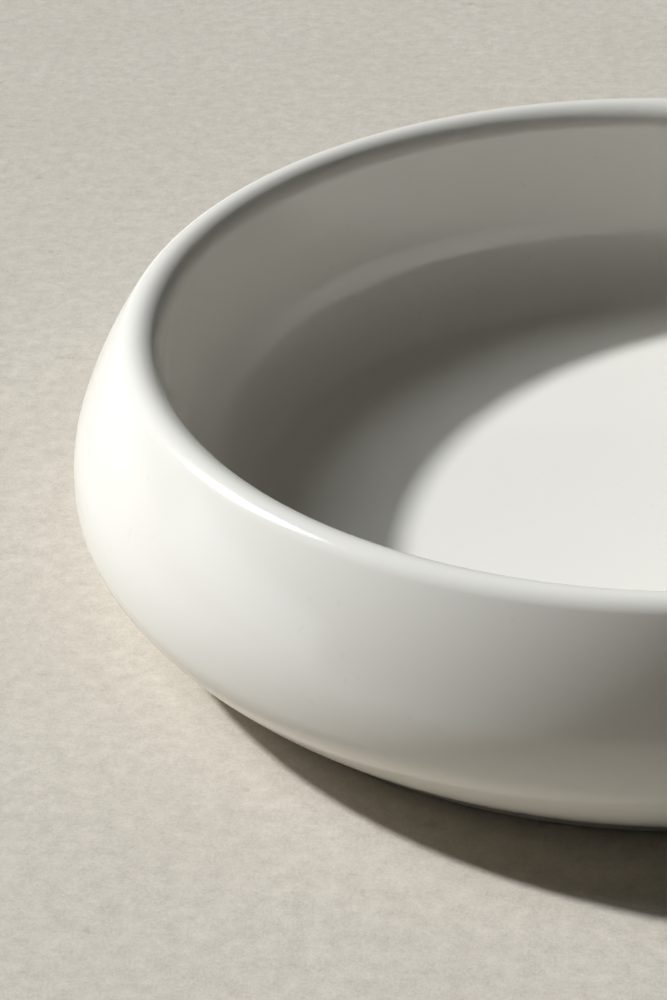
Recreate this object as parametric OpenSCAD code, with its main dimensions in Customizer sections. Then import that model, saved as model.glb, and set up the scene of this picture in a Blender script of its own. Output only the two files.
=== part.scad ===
// Low round serving bowl in white porcelain, with a convex shoulder and a small rolled lip.
// The wall is hollow: an inner basin and an outer shell are cast apart and joined with slip
// under the lip and over the foot ring, and the ware is then glazed down to the foot.
// Origin: on the bowl's axis, in the plane that the foot stands on. +Z is up, in millimetres.
// Every piece is a turned section, drawn as [radius, height] and revolved about the axis.

/* [Outside] */
// Diameter over the glaze at the widest circle, the belly
belly_d = 280; // [260:1:300]
// Height of the belly above the table
belly_z = 24; // [23.5:0.25:24.5]
// Radius of the tight curve that starts at the belly and goes up
haunch_r = 35; // [32:1:37]
// Angle that the haunch turns through, in degrees
haunch_turn = 20; // [19:0.5:21]
// Radius of the long shoulder curve above the haunch
shoulder_r = 98; // [95:1:101]
// Angle that the shoulder turns through before the lip, in degrees
shoulder_turn = 14; // [13.5:0.25:14.5]
// Radius of the rolled lip, over its top
lip_r = 5; // [4.6:0.1:5.4]
// Angle above the outward level at which the lip's easier inner side begins, in degrees
lip_turn = 110; // [105:1:115]
// Radius of the lip's inner side
lip_in_r = 6.5; // [6:0.25:7]
// Radius of the tight curve that starts at the belly and goes down
keel_r = 12; // [11:0.5:13]
// Angle that the keel turns through, in degrees
keel_turn = 30; // [29:0.5:31]
// Radius of the long curve that tucks in under the bowl to the foot
tuck_r = 38; // [37.5:0.25:38.5]

/* [Inside] */
// Height of the flat floor above the table, over the glaze
floor_z = 9; // [8.5:0.25:9.5]
// Radius of the curve between floor and wall
fillet_r = 20; // [19:0.5:21]
// Lean of the inside wall away from the axis towards the lip, in degrees
wall_draft = 2; // [1:0.5:3]

/* [Wall and glaze] */
// Thickness of the fired clay on each side of the hollow
wall_t = 4.5; // [4.2:0.1:4.7]
// Thickness of the glaze
glaze_t = 0.3; // [0.2:0.05:0.4]
// Radius of the hollow's rounded upper end
hollow_top_r = 2; // [1.7:0.1:2.3]
// Radius of the hollow's rounded lower end
hollow_base_r = 1.5; // [1.4:0.1:1.6]
// Diameter of the vent that lets the hollow breathe in the kiln
vent_d = 1.8; // [1.4:0.1:1.8]
// How far the vent lies inwards of the middle of the hollow's lower end
vent_inset = 0.4; // [0.2:0.1:0.5]

/* [Foot] */
// How far the foot ring stands out from the clay above it
foot_step = 0.2; // [0:0.05:0.25]
// Width of the foot ring
foot_w = 4; // [3.8:0.05:4]
// Height of the foot ring
foot_h = 3; // [2.8:0.1:3.2]
// Radius of the edges of the foot's bearing face
foot_edge_r = 0.8; // [0.5:0.1:1]

/* [Hidden] */
$fn = 144;
// Largest gap between a curve and the short straight pieces that draw it
chord_gap = 0.01;
// How far a drilled hole's cutter stands out of the clay at each end
cut_over = 1;
GLAZE_WHITE = [0.95, 0.94, 0.91];
BISQUE = [0.88, 0.86, 0.81];

// Depths below the glazed surface: the clay's own skin, and the wall of the hollow
clay = glaze_t;
hollow = glaze_t + wall_t;

// Centres of the outside curves. Each pair of neighbours shares a tangent.
haunch_c = [belly_d / 2 - haunch_r, belly_z];
shoulder_c = haunch_c + (haunch_r - shoulder_r) * toward(haunch_turn);
lip_angle = haunch_turn + shoulder_turn;
lip_c = shoulder_c + (shoulder_r - lip_r) * toward(lip_angle);
lip_in_c = lip_c + (lip_r - lip_in_r) * toward(lip_turn);
keel_c = [belly_d / 2 - keel_r, belly_z];
tuck_c = keel_c + (keel_r - tuck_r) * toward(-keel_turn);

// The inside wall is a straight line from the lip down to the fillet.
wall_in = toward(180 - wall_draft);
wall_up = toward(90 - wall_draft);
wall_top = lip_in_c + lip_in_r * wall_in;
fillet_z = floor_z + fillet_r;
fillet_c = [
    wall_top.x + ((fillet_z - wall_top.y) * wall_in.y - fillet_r) / -wall_in.x,
    fillet_z
];

// Centre of the hollow's upper end, as far from the shoulder as from the inside wall
top_depth = hollow + hollow_top_r;
hollow_top_c = line_meets_circle(
    wall_top - top_depth * wall_in, wall_up,
    shoulder_c, shoulder_r - top_depth
);
// Centre of its lower end, as far from the tuck as from the fillet
base_depth = hollow + hollow_base_r;
hollow_base_c = circles_meet(tuck_c, tuck_r - base_depth, fillet_c, fillet_r + base_depth);

// Radius of the foot, and of the joint between basin and shell over it
foot_r = tuck_c.x + (tuck_r - clay) * cos(angle_at_height(tuck_c, tuck_r - clay, foot_h)) + foot_step;
foot_seam_r = foot_r - foot_w;

// Unit vector at angle a
function toward(a) = [cos(a), sin(a)];
// Angle of the direction from point p to point q
function bearing(p, q) = atan2(q.y - p.y, q.x - p.x);
// Angles, about a curve of radius r centred on c, at which it has the radius or the height given
function angle_at_radius(c, r, x) = acos((x - c.x) / r);
function angle_at_height(c, r, z) = asin((z - c.y) / r);
// Points of an arc about c from angle a to angle b
function arc(c, r, a, b) =
    let (steps = max(2, ceil(abs(b - a) / (2 * acos(1 - chord_gap / r)))))
    [for (i = [0:steps]) c + r * toward(a + (b - a) * i / steps)];
// Lower of the two points where the line through p along unit vector u meets a circle
// above its own centre
function line_meets_circle(p, u, c, r) =
    let (v = p - c, b = v * u)
    p + (sqrt(b * b - v * v + r * r) - b) * u;
// Right-hand one of the two points where two circles meet, the first centre above the second
function circles_meet(c1, r1, c2, r2) =
    let (
        d = norm(c2 - c1),
        e = (c2 - c1) / d,
        along = (r1 * r1 - r2 * r2 + d * d) / (2 * d)
    )
    c1 + along * e + sqrt(r1 * r1 - along * along) * [-e.y, e.x];

// Curves of the section at a given depth below the glaze, each drawn from its lower end
function tuck(depth, a) = arc(tuck_c, tuck_r - depth, a, -keel_turn);
function keel(depth) = arc(keel_c, keel_r - depth, -keel_turn, 0);
function haunch(depth) = arc(haunch_c, haunch_r - depth, 0, haunch_turn);
function shoulder(depth, a, b) = arc(shoulder_c, shoulder_r - depth, a, b);
function lip(depth) = concat(
    arc(lip_c, lip_r - depth, lip_angle, lip_turn),
    arc(lip_in_c, lip_in_r - depth, lip_turn, 180 - wall_draft)
);
function fillet(depth, a) = arc(fillet_c, fillet_r + depth, a, -wall_draft);

// Outside from the top of the foot up to the given angle of the shoulder
function flank(depth, b) = concat(
    tuck(depth, angle_at_height(tuck_c, tuck_r - depth, foot_h)),
    keel(depth),
    haunch(depth),
    shoulder(depth, haunch_turn, b)
);
// Inside from the middle of the floor up to the top of the wall
function bowl_inside(depth) = concat([[0, floor_z - depth]], fillet(depth, -90));
// The same list back to front
function back_to_front(points) = [for (i = [len(points) - 1:-1:0]) points[i]];

// Angle of the shoulder at which basin and shell are joined, square to the surface, and the
// angle at which their joint over the foot meets the hollow
lip_seam_angle = bearing(shoulder_c, hollow_top_c);
foot_seam_angle = -angle_at_radius(tuck_c, tuck_r - hollow, foot_seam_r);

module turned(points) {
    rotate_extrude() polygon(points);
}

module vent() {
    translate([hollow_base_c.x - vent_inset, 0, foot_h - glaze_t - cut_over])
        cylinder(d = vent_d, h = hollow_base_c.y - foot_h + glaze_t + cut_over);
}

// Basin: floor, inside wall and the lip itself
module inner_basin() {
    section = concat(
        [[0, foot_h], [foot_seam_r, foot_h]],
        arc(tuck_c, tuck_r - hollow, foot_seam_angle, bearing(tuck_c, hollow_base_c)),
        arc(
            hollow_base_c, hollow_base_r,
            bearing(tuck_c, hollow_base_c), bearing(hollow_base_c, fillet_c) - 360
        ),
        fillet(hollow, bearing(fillet_c, hollow_base_c)),
        arc(hollow_top_c, hollow_top_r, 180 - wall_draft, lip_seam_angle),
        shoulder(clay, lip_seam_angle, lip_angle),
        lip(clay),
        back_to_front(bowl_inside(clay))
    );
    color(BISQUE)
        difference() {
            turned(section);
            vent();
        }
}

// Shell: the belly and shoulder, outside the hollow
module outer_shell() {
    section = concat(
        [[foot_seam_r, foot_h]],
        flank(clay, lip_seam_angle),
        back_to_front(shoulder(hollow, haunch_turn, lip_seam_angle)),
        back_to_front(haunch(hollow)),
        back_to_front(keel(hollow)),
        back_to_front(tuck(hollow, foot_seam_angle))
    );
    color(BISQUE) turned(section);
}

// Foot: a low ring that is left bare so that it can stand in the kiln
module foot_ring() {
    section = concat(
        [[foot_seam_r, foot_h]],
        arc([foot_seam_r + foot_edge_r, foot_edge_r], foot_edge_r, 180, 270),
        arc([foot_r - foot_edge_r, foot_edge_r], foot_edge_r, -90, 0),
        [[foot_r, foot_h]]
    );
    color(BISQUE) turned(section);
}

// Glaze poured inside: floor and wall up to the lip
module inner_glaze() {
    color(GLAZE_WHITE)
        turned(concat(
            bowl_inside(clay),
            [wall_top - clay * wall_in, wall_top],
            back_to_front(bowl_inside(0))
        ));
}

// Glaze outside: from the foot up over the lip
module outer_glaze() {
    color(GLAZE_WHITE)
        turned(concat(
            flank(0, lip_angle),
            lip(0),
            back_to_front(lip(clay)),
            back_to_front(flank(clay, lip_angle))
        ));
}

// Glaze under the bowl, inside the foot ring
module foot_well_glaze() {
    color(GLAZE_WHITE)
        difference() {
            translate([0, 0, foot_h - glaze_t]) cylinder(r = foot_seam_r, h = glaze_t);
            vent();
        }
}

inner_basin();
outer_shell();
foot_ring();
inner_glaze();
outer_glaze();
foot_well_glaze();
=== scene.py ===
import math

import bmesh
import bpy
from mathutils import Matrix, Vector


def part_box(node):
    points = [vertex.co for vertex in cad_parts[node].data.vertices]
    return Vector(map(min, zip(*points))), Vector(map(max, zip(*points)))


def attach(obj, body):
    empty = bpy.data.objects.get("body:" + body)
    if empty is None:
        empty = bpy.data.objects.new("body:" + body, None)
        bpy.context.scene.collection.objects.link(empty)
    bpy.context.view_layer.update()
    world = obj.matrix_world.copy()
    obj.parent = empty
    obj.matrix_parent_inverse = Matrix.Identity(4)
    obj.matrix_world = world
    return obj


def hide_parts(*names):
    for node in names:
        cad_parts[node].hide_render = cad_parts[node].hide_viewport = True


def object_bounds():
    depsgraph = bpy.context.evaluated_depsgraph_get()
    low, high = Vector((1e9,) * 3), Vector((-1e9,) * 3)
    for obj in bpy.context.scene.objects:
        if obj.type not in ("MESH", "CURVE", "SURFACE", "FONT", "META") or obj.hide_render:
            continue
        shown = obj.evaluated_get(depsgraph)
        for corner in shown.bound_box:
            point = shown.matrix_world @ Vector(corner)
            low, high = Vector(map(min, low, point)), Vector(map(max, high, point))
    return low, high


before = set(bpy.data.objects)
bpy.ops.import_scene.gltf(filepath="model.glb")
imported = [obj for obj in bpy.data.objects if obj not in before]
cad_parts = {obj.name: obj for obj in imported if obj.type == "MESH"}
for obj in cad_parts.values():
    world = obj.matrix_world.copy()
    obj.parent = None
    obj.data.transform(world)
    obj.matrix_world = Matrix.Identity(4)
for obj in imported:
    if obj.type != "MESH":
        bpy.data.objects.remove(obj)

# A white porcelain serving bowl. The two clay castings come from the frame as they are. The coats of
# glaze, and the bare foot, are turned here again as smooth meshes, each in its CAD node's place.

cad_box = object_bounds()

MM = 0.001

# The turned section, as the CAD source has it. Angles are in degrees.
BELLY_Z = 24 * MM
HAUNCH_R = 35 * MM
HAUNCH_TURN = 20
SHOULDER_R = 98 * MM
SHOULDER_TURN = 14
LIP_R = 5 * MM
LIP_TURN = 110
LIP_IN_R = 6.5 * MM
KEEL_R = 12 * MM
KEEL_TURN = 30
TUCK_R = 38 * MM
FILLET_R = 20 * MM
WALL_DRAFT = 2
FOOT_EDGE_R = 0.8 * MM

# What only the looks need
BARE_LINE = 0.35 * MM      # clay left bare between the glaze and the foot, measured in height
GLAZE_WANDER = 0.25        # how far the lower edge of the glaze strays, in degrees about the tuck
WANDER_REACH = 4           # stretch of the tuck that follows that edge, in degrees
EDGE_WAVES = (             # its waves: number round the bowl, phase in radians, share of the whole
    (3, 0.4, 0.45),
    (7, 2.1, 0.25),
    (16, 5.0, 0.18),
    (37, 1.3, 0.12),
)
MENISCUS_R = 0.8 * MM      # glaze gathered in the corner under the bowl
VENT_FLARE = 0.2 * MM      # rounding of the glaze at the rim of the vent

# How finely the meshes are drawn
SEGMENTS = 360             # straight pieces round the bowl
VENT_SEGMENTS = 48         # straight pieces round the vent
CHORD_GAP = 0.002 * MM     # largest gap between a curve and its chords where the surface shows
HIDDEN_GAP = 0.02 * MM     # the same where it lies against the clay
FLAT_STEP = 6 * MM         # distance between rings on the flat and straight stretches
SHARP_ANGLE = 40           # edges that turn by more than this many degrees stay crisp
SAME_POINT = 0.001 * MM    # points closer than this are one


# ---- The section ---------------------------------------------------------------------------------

def toward(angle):
    """Unit vector [radius, height] at an angle in degrees."""
    return Vector((math.cos(math.radians(angle)), math.sin(math.radians(angle))))


def arc(centre, radius, start, end, gap=CHORD_GAP):
    """Points of an arc from one angle to another, no chord further than gap from the curve."""
    step = math.degrees(2 * math.acos(1 - gap / radius))
    count = max(2, math.ceil(abs(end - start) / step))
    return [centre + radius * toward(start + (end - start) * i / count) for i in range(count + 1)]


def straight(start, end):
    """Points of a straight line, both ends included."""
    count = max(1, math.ceil((end - start).length / FLAT_STEP))
    return [start.lerp(end, i / count) for i in range(count + 1)]


def joined(*stretches):
    """One outline from several, without the points that two neighbours share."""
    points = []
    for stretch in stretches:
        for point in stretch:
            if not points or (point - points[-1]).length > SAME_POINT:
                points.append(point)
    return points


# Sizes that the frame's own boxes give
foot_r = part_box("foot_ring")[1].x
foot_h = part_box("foot_ring")[1].z
foot_seam_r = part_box("foot_well_glaze")[1].x
glaze_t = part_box("foot_well_glaze")[1].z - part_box("foot_well_glaze")[0].z
floor_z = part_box("inner_glaze")[0].z + glaze_t
belly_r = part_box("outer_glaze")[1].x

# Centres of the curves, each pair of neighbours sharing a tangent
haunch_c = Vector((belly_r - HAUNCH_R, BELLY_Z))
shoulder_c = haunch_c + (HAUNCH_R - SHOULDER_R) * toward(HAUNCH_TURN)
lip_angle = HAUNCH_TURN + SHOULDER_TURN
lip_c = shoulder_c + (SHOULDER_R - LIP_R) * toward(lip_angle)
lip_in_c = lip_c + (LIP_R - LIP_IN_R) * toward(LIP_TURN)
keel_c = Vector((belly_r - KEEL_R, BELLY_Z))
tuck_c = keel_c + (KEEL_R - TUCK_R) * toward(-KEEL_TURN)
wall_in = toward(180 - WALL_DRAFT)
wall_top = lip_in_c + LIP_IN_R * wall_in
fillet_z = floor_z + FILLET_R
fillet_c = Vector((
    wall_top.x + ((fillet_z - wall_top.y) * wall_in.y - FILLET_R) / -wall_in.x,
    fillet_z,
))


def flank(depth, start, gap):
    """Outside of the bowl at a depth below the glaze, from an angle on the tuck up to the lip."""
    return joined(
        arc(tuck_c, TUCK_R - depth, start, -KEEL_TURN, gap),
        arc(keel_c, KEEL_R - depth, -KEEL_TURN, 0, gap),
        arc(haunch_c, HAUNCH_R - depth, 0, HAUNCH_TURN, gap),
        arc(shoulder_c, SHOULDER_R - depth, HAUNCH_TURN, lip_angle, gap),
        arc(lip_c, LIP_R - depth, lip_angle, LIP_TURN, gap),
        arc(lip_in_c, LIP_IN_R - depth, LIP_TURN, 180 - WALL_DRAFT, gap),
    )


def inside(depth, gap):
    """Inside of the bowl at a depth below the glaze, from the middle of the floor up to the lip."""
    floor_edge = Vector((fillet_c.x, floor_z - depth))
    wall_foot = fillet_c - (FILLET_R + depth) * wall_in
    return joined(
        straight(Vector((0, floor_edge.y)), floor_edge),
        arc(fillet_c, FILLET_R + depth, -90, -WALL_DRAFT, gap),
        straight(wall_foot, wall_top - depth * wall_in),
    )


def turned(name, outline, shape=None, segments=SEGMENTS, axis=(0, 0)):
    """Solid of revolution from a closed outline of [radius, height] points. shape, if given, takes a
    point and its azimuth, and returns where the point goes. axis is where the solid's axis stands."""
    mesh = bpy.data.meshes.new(name)
    bm = bmesh.new()
    rings = []
    for point in outline:
        ring = []
        for i in range(1 if point.x < SAME_POINT else segments):
            azimuth = 2 * math.pi * i / segments
            radius, height = shape(point, azimuth) if shape else point
            place = (axis[0] + radius * math.cos(azimuth), axis[1] + radius * math.sin(azimuth), height)
            ring.append(bm.verts.new(place))
        rings.append(ring)
    for near, far in zip(rings, rings[1:] + rings[:1]):
        if len(near) + len(far) == 2:    # both lie on the axis
            continue
        for i in range(segments):
            following = (i + 1) % segments
            corners = [near[i % len(near)], near[following % len(near)]]
            corners += [far[following % len(far)], far[i % len(far)]]
            bm.faces.new(list(dict.fromkeys(corners)))    # a triangle where a ring is one point
    bmesh.ops.recalc_face_normals(bm, faces=bm.faces)
    for face in bm.faces:
        face.smooth = True
    bm.to_mesh(mesh)
    bm.free()
    mesh.set_sharp_from_angle(angle=math.radians(SHARP_ANGLE))
    piece = bpy.data.objects.new(name, mesh)
    bpy.context.scene.collection.objects.link(piece)
    return piece


# ---- Pieces --------------------------------------------------------------------------------------

def glaze_edge_angle():
    """Angle on the tuck at which the clay shows below the glaze."""
    return math.degrees(math.asin((foot_h + BARE_LINE - tuck_c.y) / (TUCK_R - glaze_t)))


def wander(azimuth):
    """Slow, uneven drift of a hand-wiped edge round the bowl, from -1 to 1."""
    return sum(share * math.sin(count * azimuth + phase) for count, phase, share in EDGE_WAVES)


def outer_coat():
    """Glaze outside, from above the foot over the lip, with a rounded and slightly uneven lower edge."""
    start = glaze_edge_angle()
    bead_c = tuck_c + (TUCK_R - glaze_t / 2) * toward(start)
    bead = arc(bead_c, glaze_t / 2, start - 180, start)
    front = flank(0, start, CHORD_GAP)
    back = flank(glaze_t, start, HIDDEN_GAP)

    def stray(point, azimuth):
        """The point turned about the tuck's centre, by less the further it is above the edge."""
        arm = point - tuck_c
        above = math.degrees(math.atan2(arm.y, arm.x)) - start
        if point.y > BELLY_Z or above > WANDER_REACH:
            return point
        share = 1 - max(0, above) / WANDER_REACH
        turn = math.radians(GLAZE_WANDER * wander(azimuth) * share * share)
        turned_arm = Vector((
            arm.x * math.cos(turn) - arm.y * math.sin(turn),
            arm.x * math.sin(turn) + arm.y * math.cos(turn),
        ))
        return tuck_c + turned_arm

    return turned("outer_glaze_coat", joined(bead, front, back[::-1])[:-1], stray)


def inner_coat():
    """Glaze inside: floor, corner and wall, meeting the outer coat under the lip."""
    front = inside(0, CHORD_GAP)
    back = inside(glaze_t, HIDDEN_GAP)
    return turned("inner_glaze_coat", joined(front, back[::-1]))


def vent_place():
    """Middle and radius of the vent, from the rim that the frame's disc of glaze has round it."""
    points = [v.co.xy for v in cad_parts["foot_well_glaze"].data.vertices]
    rim = [p for p in points if p.length < foot_seam_r - glaze_t]
    middle = sum(rim, Vector((0, 0))) / len(rim)
    return middle, max((p - middle).length for p in rim)


def underside_coat():
    """Glaze under the bowl, gathered a little against the foot ring and pierced by the vent."""
    face_z = foot_h - glaze_t
    corner_c = Vector((foot_seam_r - MENISCUS_R, face_z - MENISCUS_R))
    coat = turned("underside_glaze_coat", joined(
        straight(Vector((0, face_z)), corner_c + MENISCUS_R * toward(90)),
        arc(corner_c, MENISCUS_R, 90, 0),
        [Vector((foot_seam_r, foot_h)), Vector((0, foot_h))],
    ))
    middle, radius = vent_place()
    flare_c = Vector((radius + VENT_FLARE, face_z + VENT_FLARE))
    cutter = turned("vent_cutter", joined(
        [Vector((0, face_z - MENISCUS_R)), Vector((flare_c.x, face_z - MENISCUS_R))],
        arc(flare_c, VENT_FLARE, 270, 180),
        [Vector((radius, foot_h + MENISCUS_R)), Vector((0, foot_h + MENISCUS_R))],
    ), segments=VENT_SEGMENTS, axis=middle)
    cut = coat.modifiers.new("vent", "BOOLEAN")
    cut.object = cutter
    cut.solver = "EXACT"
    bpy.context.view_layer.update()
    evaluated = coat.evaluated_get(bpy.context.evaluated_depsgraph_get())
    mesh = bpy.data.meshes.new_from_object(evaluated)
    coat.modifiers.clear()
    coat.data = mesh
    mesh.set_sharp_from_angle(angle=math.radians(SHARP_ANGLE))
    bpy.data.objects.remove(cutter)
    return coat


def bare_foot():
    """Foot ring, with softened edges where it stands on the table."""
    return turned("bare_foot", joined(
        [Vector((foot_seam_r, foot_h))],
        arc(Vector((foot_seam_r + FOOT_EDGE_R, FOOT_EDGE_R)), FOOT_EDGE_R, 180, 270),
        arc(Vector((foot_r - FOOT_EDGE_R, FOOT_EDGE_R)), FOOT_EDGE_R, -90, 0),
        [Vector((foot_r, foot_h))],
    ))


# ---- Materials -----------------------------------------------------------------------------------
# Colours are linear red, green and blue. A noise is its cells per metre, its number of finer octaves
# and, where it isn't a half, the weight of each. An effect sets in over a range of noise values, and
# its share is how far it takes the colour at most.

MOST_NOISE = (0.3, 0.7)                   # the values that most of a noise lies between


def node(tree, kind, inputs=(), **settings):
    """A shader node with its settings, and its inputs set to values or linked to outputs."""
    made = tree.nodes.new("ShaderNode" + kind)
    for key, value in settings.items():
        setattr(made, key, value)
    for key, value in dict(inputs).items():
        if isinstance(value, bpy.types.NodeSocket):
            tree.links.new(value, made.inputs[key])
        else:
            made.inputs[key].default_value = value
    return made


def material(name):
    """A new node material, its tree and its shader."""
    made = bpy.data.materials.new(name)
    made.use_nodes = True
    return made, made.node_tree, made.node_tree.nodes["Principled BSDF"]


def noise(tree, place, cells, octaves, weight=0.5):
    """Fractal noise in space, from 0 to 1."""
    inputs = {"Vector": place, "Scale": cells, "Detail": octaves, "Roughness": weight}
    return node(tree, "TexNoise", inputs).outputs["Fac"]


def blend(tree, share, low, high):
    """Colour that goes from low to high as share goes from 0 to 1."""
    mixed = node(tree, "Mix", data_type="RGBA")
    tree.links.new(share, mixed.inputs["Factor"])
    for socket, colour in (("A", low), ("B", high)):
        side = [s for s in mixed.inputs if s.name == socket and s.type == "RGBA"][0]
        if isinstance(colour, bpy.types.NodeSocket):
            tree.links.new(colour, side)
        else:
            side.default_value = (*colour, 1)
    return [s for s in mixed.outputs if s.type == "RGBA"][0]


def spread(tree, value, goal, given=(0.0, 1.0)):
    """A value in the given range taken to the goal range, and held at its ends."""
    inputs = {"Value": value, "From Min": given[0], "From Max": given[1]}
    inputs.update({"To Min": goal[0], "To Max": goal[1]})
    return node(tree, "MapRange", inputs).outputs["Result"]


def bump(tree, height, distance, normal=None):
    """A normal tilted by a height field whose full range is distance, in metres."""
    inputs = {"Height": height, "Distance": distance, "Strength": 1.0}
    if normal:
        inputs["Normal"] = normal
    return node(tree, "Bump", inputs).outputs["Normal"]


GLAZE_DARK = (0.865, 0.840, 0.772)
GLAZE_LIGHT = (0.885, 0.862, 0.796)
GLAZE_TONE_NOISE = (14.0, 3.0)
GLAZE_LIP = (0.872, 0.848, 0.780)         # where the glaze runs thin over the lip
GLAZE_SPECK = (0.80, 0.77, 0.70)
GLAZE_SPECK_NOISE = (450.0, 0.0)
GLAZE_SPECK_RANGE = (0.80, 0.86)
GLAZE_SPECK_SHARE = 0.35
GLAZE_ROUGHNESS = (0.11, 0.18)
GLAZE_WEAR_NOISE = (55.0, 4.0)
GLAZE_WAVE_NOISE = (22.0, 1.0)
GLAZE_WAVE_HEIGHT = 0.03 * MM
GLAZE_RIPPLE_NOISE = (320.0, 1.0)
GLAZE_RIPPLE_HEIGHT = 0.0008 * MM
GLAZE_IOR = 1.5


def glaze():
    """Glossy white porcelain glaze: slow waves, fine ripple, drifting tone and a few faint specks."""
    made, tree, shader = material("white_porcelain_glaze")
    place = node(tree, "TexCoord").outputs["Object"]
    height = node(tree, "SeparateXYZ", {"Vector": place}).outputs["Z"]
    thin = spread(tree, height, (0.0, 1.0), (lip_c.y, cad_box[1].z))
    body = blend(tree, noise(tree, place, *GLAZE_TONE_NOISE), GLAZE_DARK, GLAZE_LIGHT)
    specks = noise(tree, place, *GLAZE_SPECK_NOISE)
    speck = spread(tree, specks, (0.0, GLAZE_SPECK_SHARE), GLAZE_SPECK_RANGE)
    specked = blend(tree, speck, body, GLAZE_SPECK)
    tree.links.new(blend(tree, thin, specked, GLAZE_LIP), shader.inputs["Base Color"])
    worn = spread(tree, noise(tree, place, *GLAZE_WEAR_NOISE), GLAZE_ROUGHNESS, MOST_NOISE)
    tree.links.new(worn, shader.inputs["Roughness"])
    waves = bump(tree, noise(tree, place, *GLAZE_WAVE_NOISE), GLAZE_WAVE_HEIGHT)
    rippled = bump(tree, noise(tree, place, *GLAZE_RIPPLE_NOISE), GLAZE_RIPPLE_HEIGHT, waves)
    tree.links.new(rippled, shader.inputs["Normal"])
    shader.inputs["IOR"].default_value = GLAZE_IOR
    return made


CLAY_LIGHT = (0.80, 0.78, 0.73)
CLAY_DARK = (0.74, 0.71, 0.65)
CLAY_GRAIN_SHARE = 0.5
# The foot's two tones: bare clay greyed by wear, and darker still as painted shade for the shade the
# foot stands in under the bowl.
FOOT_GREY_AND_SHADE_LIGHT = (0.62, 0.60, 0.55)
FOOT_GREY_AND_SHADE_DARK = (0.50, 0.48, 0.43)
FOOT_GRAIN_SHARE = 0.6
FOOT_STAIN = (0.33, 0.32, 0.29)
STAIN_RANGE = (0.35, 0.6)
CLAY_CLOUD_NOISE = (60.0, 4.0)
CLAY_GRAIN_NOISE = (1400.0, 3.0)
CLAY_GRAIN_RANGE = (0.45, 0.75)
CLAY_GRAIN_HEIGHT = 0.03 * MM
CLAY_ROUGHNESS = (0.72, 0.9)


def fired_clay(name, light, dark, grain_share, stain=None):
    """Matt unglazed porcelain with the grain of fired clay, and stained near the table if a stain's
    colour is given."""
    made, tree, shader = material(name)
    place = node(tree, "TexCoord").outputs["Object"]
    grain = noise(tree, place, *CLAY_GRAIN_NOISE)
    clouds = noise(tree, place, *CLAY_CLOUD_NOISE)
    colour = blend(tree, clouds, dark, light)
    if stain:
        height = node(tree, "SeparateXYZ", {"Vector": place}).outputs["Z"]
        low = spread(tree, height, (1.0, 0.0), (0.0, FOOT_EDGE_R))
        patchy = spread(tree, clouds, (0.0, 1.0), STAIN_RANGE)
        scuffed = node(tree, "Math", {0: low, 1: patchy}, operation="MULTIPLY")
        colour = blend(tree, scuffed.outputs["Value"], colour, stain)
    grains = spread(tree, grain, (0.0, grain_share), CLAY_GRAIN_RANGE)
    tree.links.new(blend(tree, grains, colour, dark), shader.inputs["Base Color"])
    tree.links.new(spread(tree, clouds, CLAY_ROUGHNESS), shader.inputs["Roughness"])
    tree.links.new(bump(tree, grain, CLAY_GRAIN_HEIGHT), shader.inputs["Normal"])
    return made


TABLE_DARK = (0.655, 0.600, 0.512)
TABLE_LIGHT = (0.710, 0.655, 0.566)
TABLE_CLOUD_NOISE = (18.0, 4.0)
TABLE_MOTTLE = (0.49, 0.448, 0.378)
TABLE_MOTTLE_NOISE = (210.0, 5.0, 0.85)
TABLE_GRAIN = (0.76, 0.71, 0.64)
TABLE_GRAIN_NOISE = (1500.0, 2.0)
TABLE_GRAIN_RANGE = (0.35, 0.75)
TABLE_GRAIN_SHARE = 0.35
TABLE_GRAIN_HEIGHT = 0.05 * MM
TABLE_PIT = (0.40, 0.36, 0.30)
TABLE_PIT_NOISE = (120.0, 3.0)
TABLE_PIT_RANGE = (0.68, 0.76)
TABLE_PIT_SHARE = 0.5
TABLE_ROUGHNESS = (0.75, 0.9)
TABLE_SPECULAR = 0.2


def table_surface():
    """Pale honed cement: soft clouds, a darker mottle, fine pale grain and a few dark pits."""
    made, tree, shader = material("pale_cement")
    place = node(tree, "TexCoord").outputs["Object"]
    clouds = spread(tree, noise(tree, place, *TABLE_CLOUD_NOISE), (0.0, 1.0), MOST_NOISE)
    mottle = spread(tree, noise(tree, place, *TABLE_MOTTLE_NOISE), (0.0, 1.0), MOST_NOISE)
    grain = noise(tree, place, *TABLE_GRAIN_NOISE)
    pitting = noise(tree, place, *TABLE_PIT_NOISE)
    pits = spread(tree, pitting, (0.0, TABLE_PIT_SHARE), TABLE_PIT_RANGE)
    base = blend(tree, clouds, TABLE_DARK, TABLE_LIGHT)
    mottled = blend(tree, spread(tree, mottle, (1.0, 0.0)), base, TABLE_MOTTLE)
    grains = spread(tree, grain, (0.0, TABLE_GRAIN_SHARE), TABLE_GRAIN_RANGE)
    grained = blend(tree, grains, mottled, TABLE_GRAIN)
    tree.links.new(blend(tree, pits, grained, TABLE_PIT), shader.inputs["Base Color"])
    tree.links.new(spread(tree, grain, TABLE_ROUGHNESS), shader.inputs["Roughness"])
    tree.links.new(bump(tree, grain, TABLE_GRAIN_HEIGHT), shader.inputs["Normal"])
    shader.inputs["Specular IOR Level"].default_value = TABLE_SPECULAR
    return made


def dress(piece, made):
    """Gives a piece one material all over."""
    piece.data.materials.clear()
    piece.data.materials.append(made)


# ---- Stage, light and camera ---------------------------------------------------------------------
# Lengths are in metres, and angles in degrees, azimuths from +X towards +Y.

TABLE_HALF = 8
TABLE_CELLS = 8

SUN_AZIMUTH = 158.5
SUN_ELEVATION = 37.5
SUN_SIZE = 4
SUN_STRENGTH = 3.9                  # W/m2, as the halo's
SUN_COLOUR = (0.945, 0.965, 1.0)

# Soft sky light from round about the sun
HALO_AZIMUTH = 153
HALO_ELEVATION = 46
HALO_SIZE = 20
HALO_STRENGTH = 0.85
HALO_COLOUR = (0.93, 0.97, 1.0)

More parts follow.
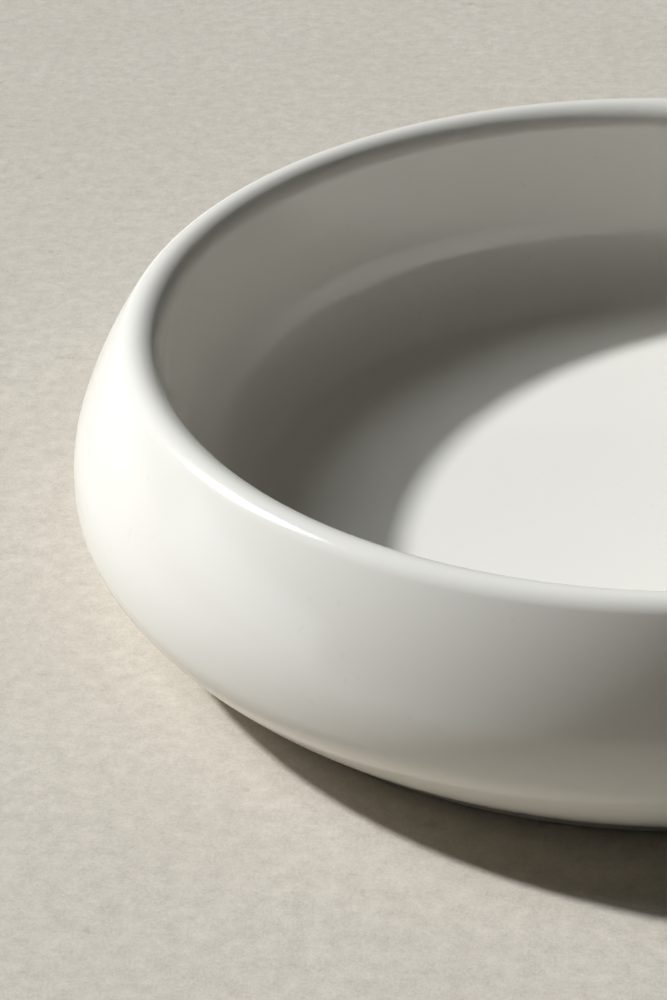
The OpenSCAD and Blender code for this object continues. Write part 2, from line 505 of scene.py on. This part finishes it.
WINDOW_AZIMUTH = 190
WINDOW_DISTANCE = 12
WINDOW_WIDTH = 8.5
WINDOW_HEIGHT = 2.4
WINDOW_GLOW = 1.2                   # brightness, whatever the window's size
WINDOW_COLOUR = (0.90, 0.97, 1.0)

ROOM_COLOUR = (0.005, 0.0042, 0.0028)
BACKDROP_COLOUR = (0.50, 0.48, 0.44)

CAMERA_PLACE = (0, -0.5816, 0.3581)
CAMERA_LEFT = 7.76                  # turned left of +Y
CAMERA_DOWN = 31.08                 # tilted below the horizon
CAMERA_ROLL = -2.39
CAMERA_LENS = 100                   # millimetres


def table_top():
    """A wide, level table top."""
    mesh = bpy.data.meshes.new("table_top")
    bm = bmesh.new()
    bmesh.ops.create_grid(bm, x_segments=TABLE_CELLS, y_segments=TABLE_CELLS, size=TABLE_HALF)
    bm.to_mesh(mesh)
    bm.free()
    floor = bpy.data.objects.new("table_top", mesh)
    bpy.context.scene.collection.objects.link(floor)
    dress(floor, table_surface())


def sky_point(azimuth, elevation):
    """Unit vector towards a place in the sky."""
    level = math.cos(math.radians(elevation))
    return Vector((
        level * math.cos(math.radians(azimuth)),
        level * math.sin(math.radians(azimuth)),
        math.sin(math.radians(elevation)),
    ))


def sunlight(name, azimuth, elevation, size, strength, colour):
    """Light from a disc of sky that is size degrees across."""
    sun = bpy.data.lights.new(name, "SUN")
    sun.energy = strength
    sun.angle = math.radians(size)
    sun.color = colour
    lamp = bpy.data.objects.new(name, sun)
    lamp.rotation_euler = sky_point(azimuth, elevation).to_track_quat("Z", "Y").to_euler()
    bpy.context.scene.collection.objects.link(lamp)


def window():
    """Cool light from a far window that stands on the level of the table."""
    pane = bpy.data.lights.new("window", "AREA")
    pane.shape = "RECTANGLE"
    pane.size = WINDOW_WIDTH
    pane.size_y = WINDOW_HEIGHT
    pane.energy = WINDOW_GLOW * math.pi * WINDOW_WIDTH * WINDOW_HEIGHT
    pane.color = WINDOW_COLOUR
    lamp = bpy.data.objects.new("window", pane)
    direction = sky_point(WINDOW_AZIMUTH, 0)
    lamp.location = WINDOW_DISTANCE * direction + Vector((0, 0, WINDOW_HEIGHT / 2))
    lamp.rotation_euler = direction.to_track_quat("Z", "Y").to_euler()
    bpy.context.scene.collection.objects.link(lamp)


def room_light():
    """Dim warm fill from all round, with a pale backdrop where the table ends that sheds no light."""
    world = bpy.data.worlds.new("room")
    bpy.context.scene.world = world
    world.use_nodes = True
    tree = world.node_tree
    seen = node(tree, "LightPath").outputs["Is Camera Ray"]
    colour = blend(tree, seen, ROOM_COLOUR, BACKDROP_COLOUR)
    tree.links.new(colour, tree.nodes["Background"].inputs["Color"])


def camera():
    """The photograph's viewpoint."""
    data = bpy.data.cameras.new("camera")
    data.lens = CAMERA_LENS
    eye = bpy.data.objects.new("camera", data)
    eye.matrix_world = (
        Matrix.Translation(CAMERA_PLACE)
        @ Matrix.Rotation(math.radians(CAMERA_LEFT), 4, "Z")
        @ Matrix.Rotation(math.radians(90 - CAMERA_DOWN), 4, "X")
        @ Matrix.Rotation(math.radians(CAMERA_ROLL), 4, "Z")
    )
    bpy.context.scene.collection.objects.link(eye)
    bpy.context.scene.camera = eye


# ---- The model -----------------------------------------------------------------------------------

glazed = glaze()
casting_clay = fired_clay("fired_clay", CLAY_LIGHT, CLAY_DARK, CLAY_GRAIN_SHARE)
# The foot's clay is a darker copy of the casting clay: partly greyed clay, partly painted shade.
foot_clay_grey_and_shade = fired_clay("bare_foot_clay_grey_and_shade", FOOT_GREY_AND_SHADE_LIGHT, FOOT_GREY_AND_SHADE_DARK, FOOT_GRAIN_SHARE, FOOT_STAIN)

for make, cad_node, slot, finish in (
    (outer_coat, "outer_glaze", "white_glaze", glazed),
    (inner_coat, "inner_glaze", "white_glaze", glazed),
    (underside_coat, "foot_well_glaze", "white_glaze", glazed),
    (bare_foot, "foot_ring", "bare_foot", foot_clay_grey_and_shade),
):
    piece = make()
    dress(piece, finish)
    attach(piece, "root")
    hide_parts(cad_node)

for name in ("inner_basin", "outer_shell"):
    dress(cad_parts[name], casting_clay)

table_top()
sunlight("sun", SUN_AZIMUTH, SUN_ELEVATION, SUN_SIZE, SUN_STRENGTH, SUN_COLOUR)
sunlight("halo", HALO_AZIMUTH, HALO_ELEVATION, HALO_SIZE, HALO_STRENGTH, HALO_COLOUR)
window()
room_light()
camera()
bpy.context.scene.view_settings.view_transform = "Standard"
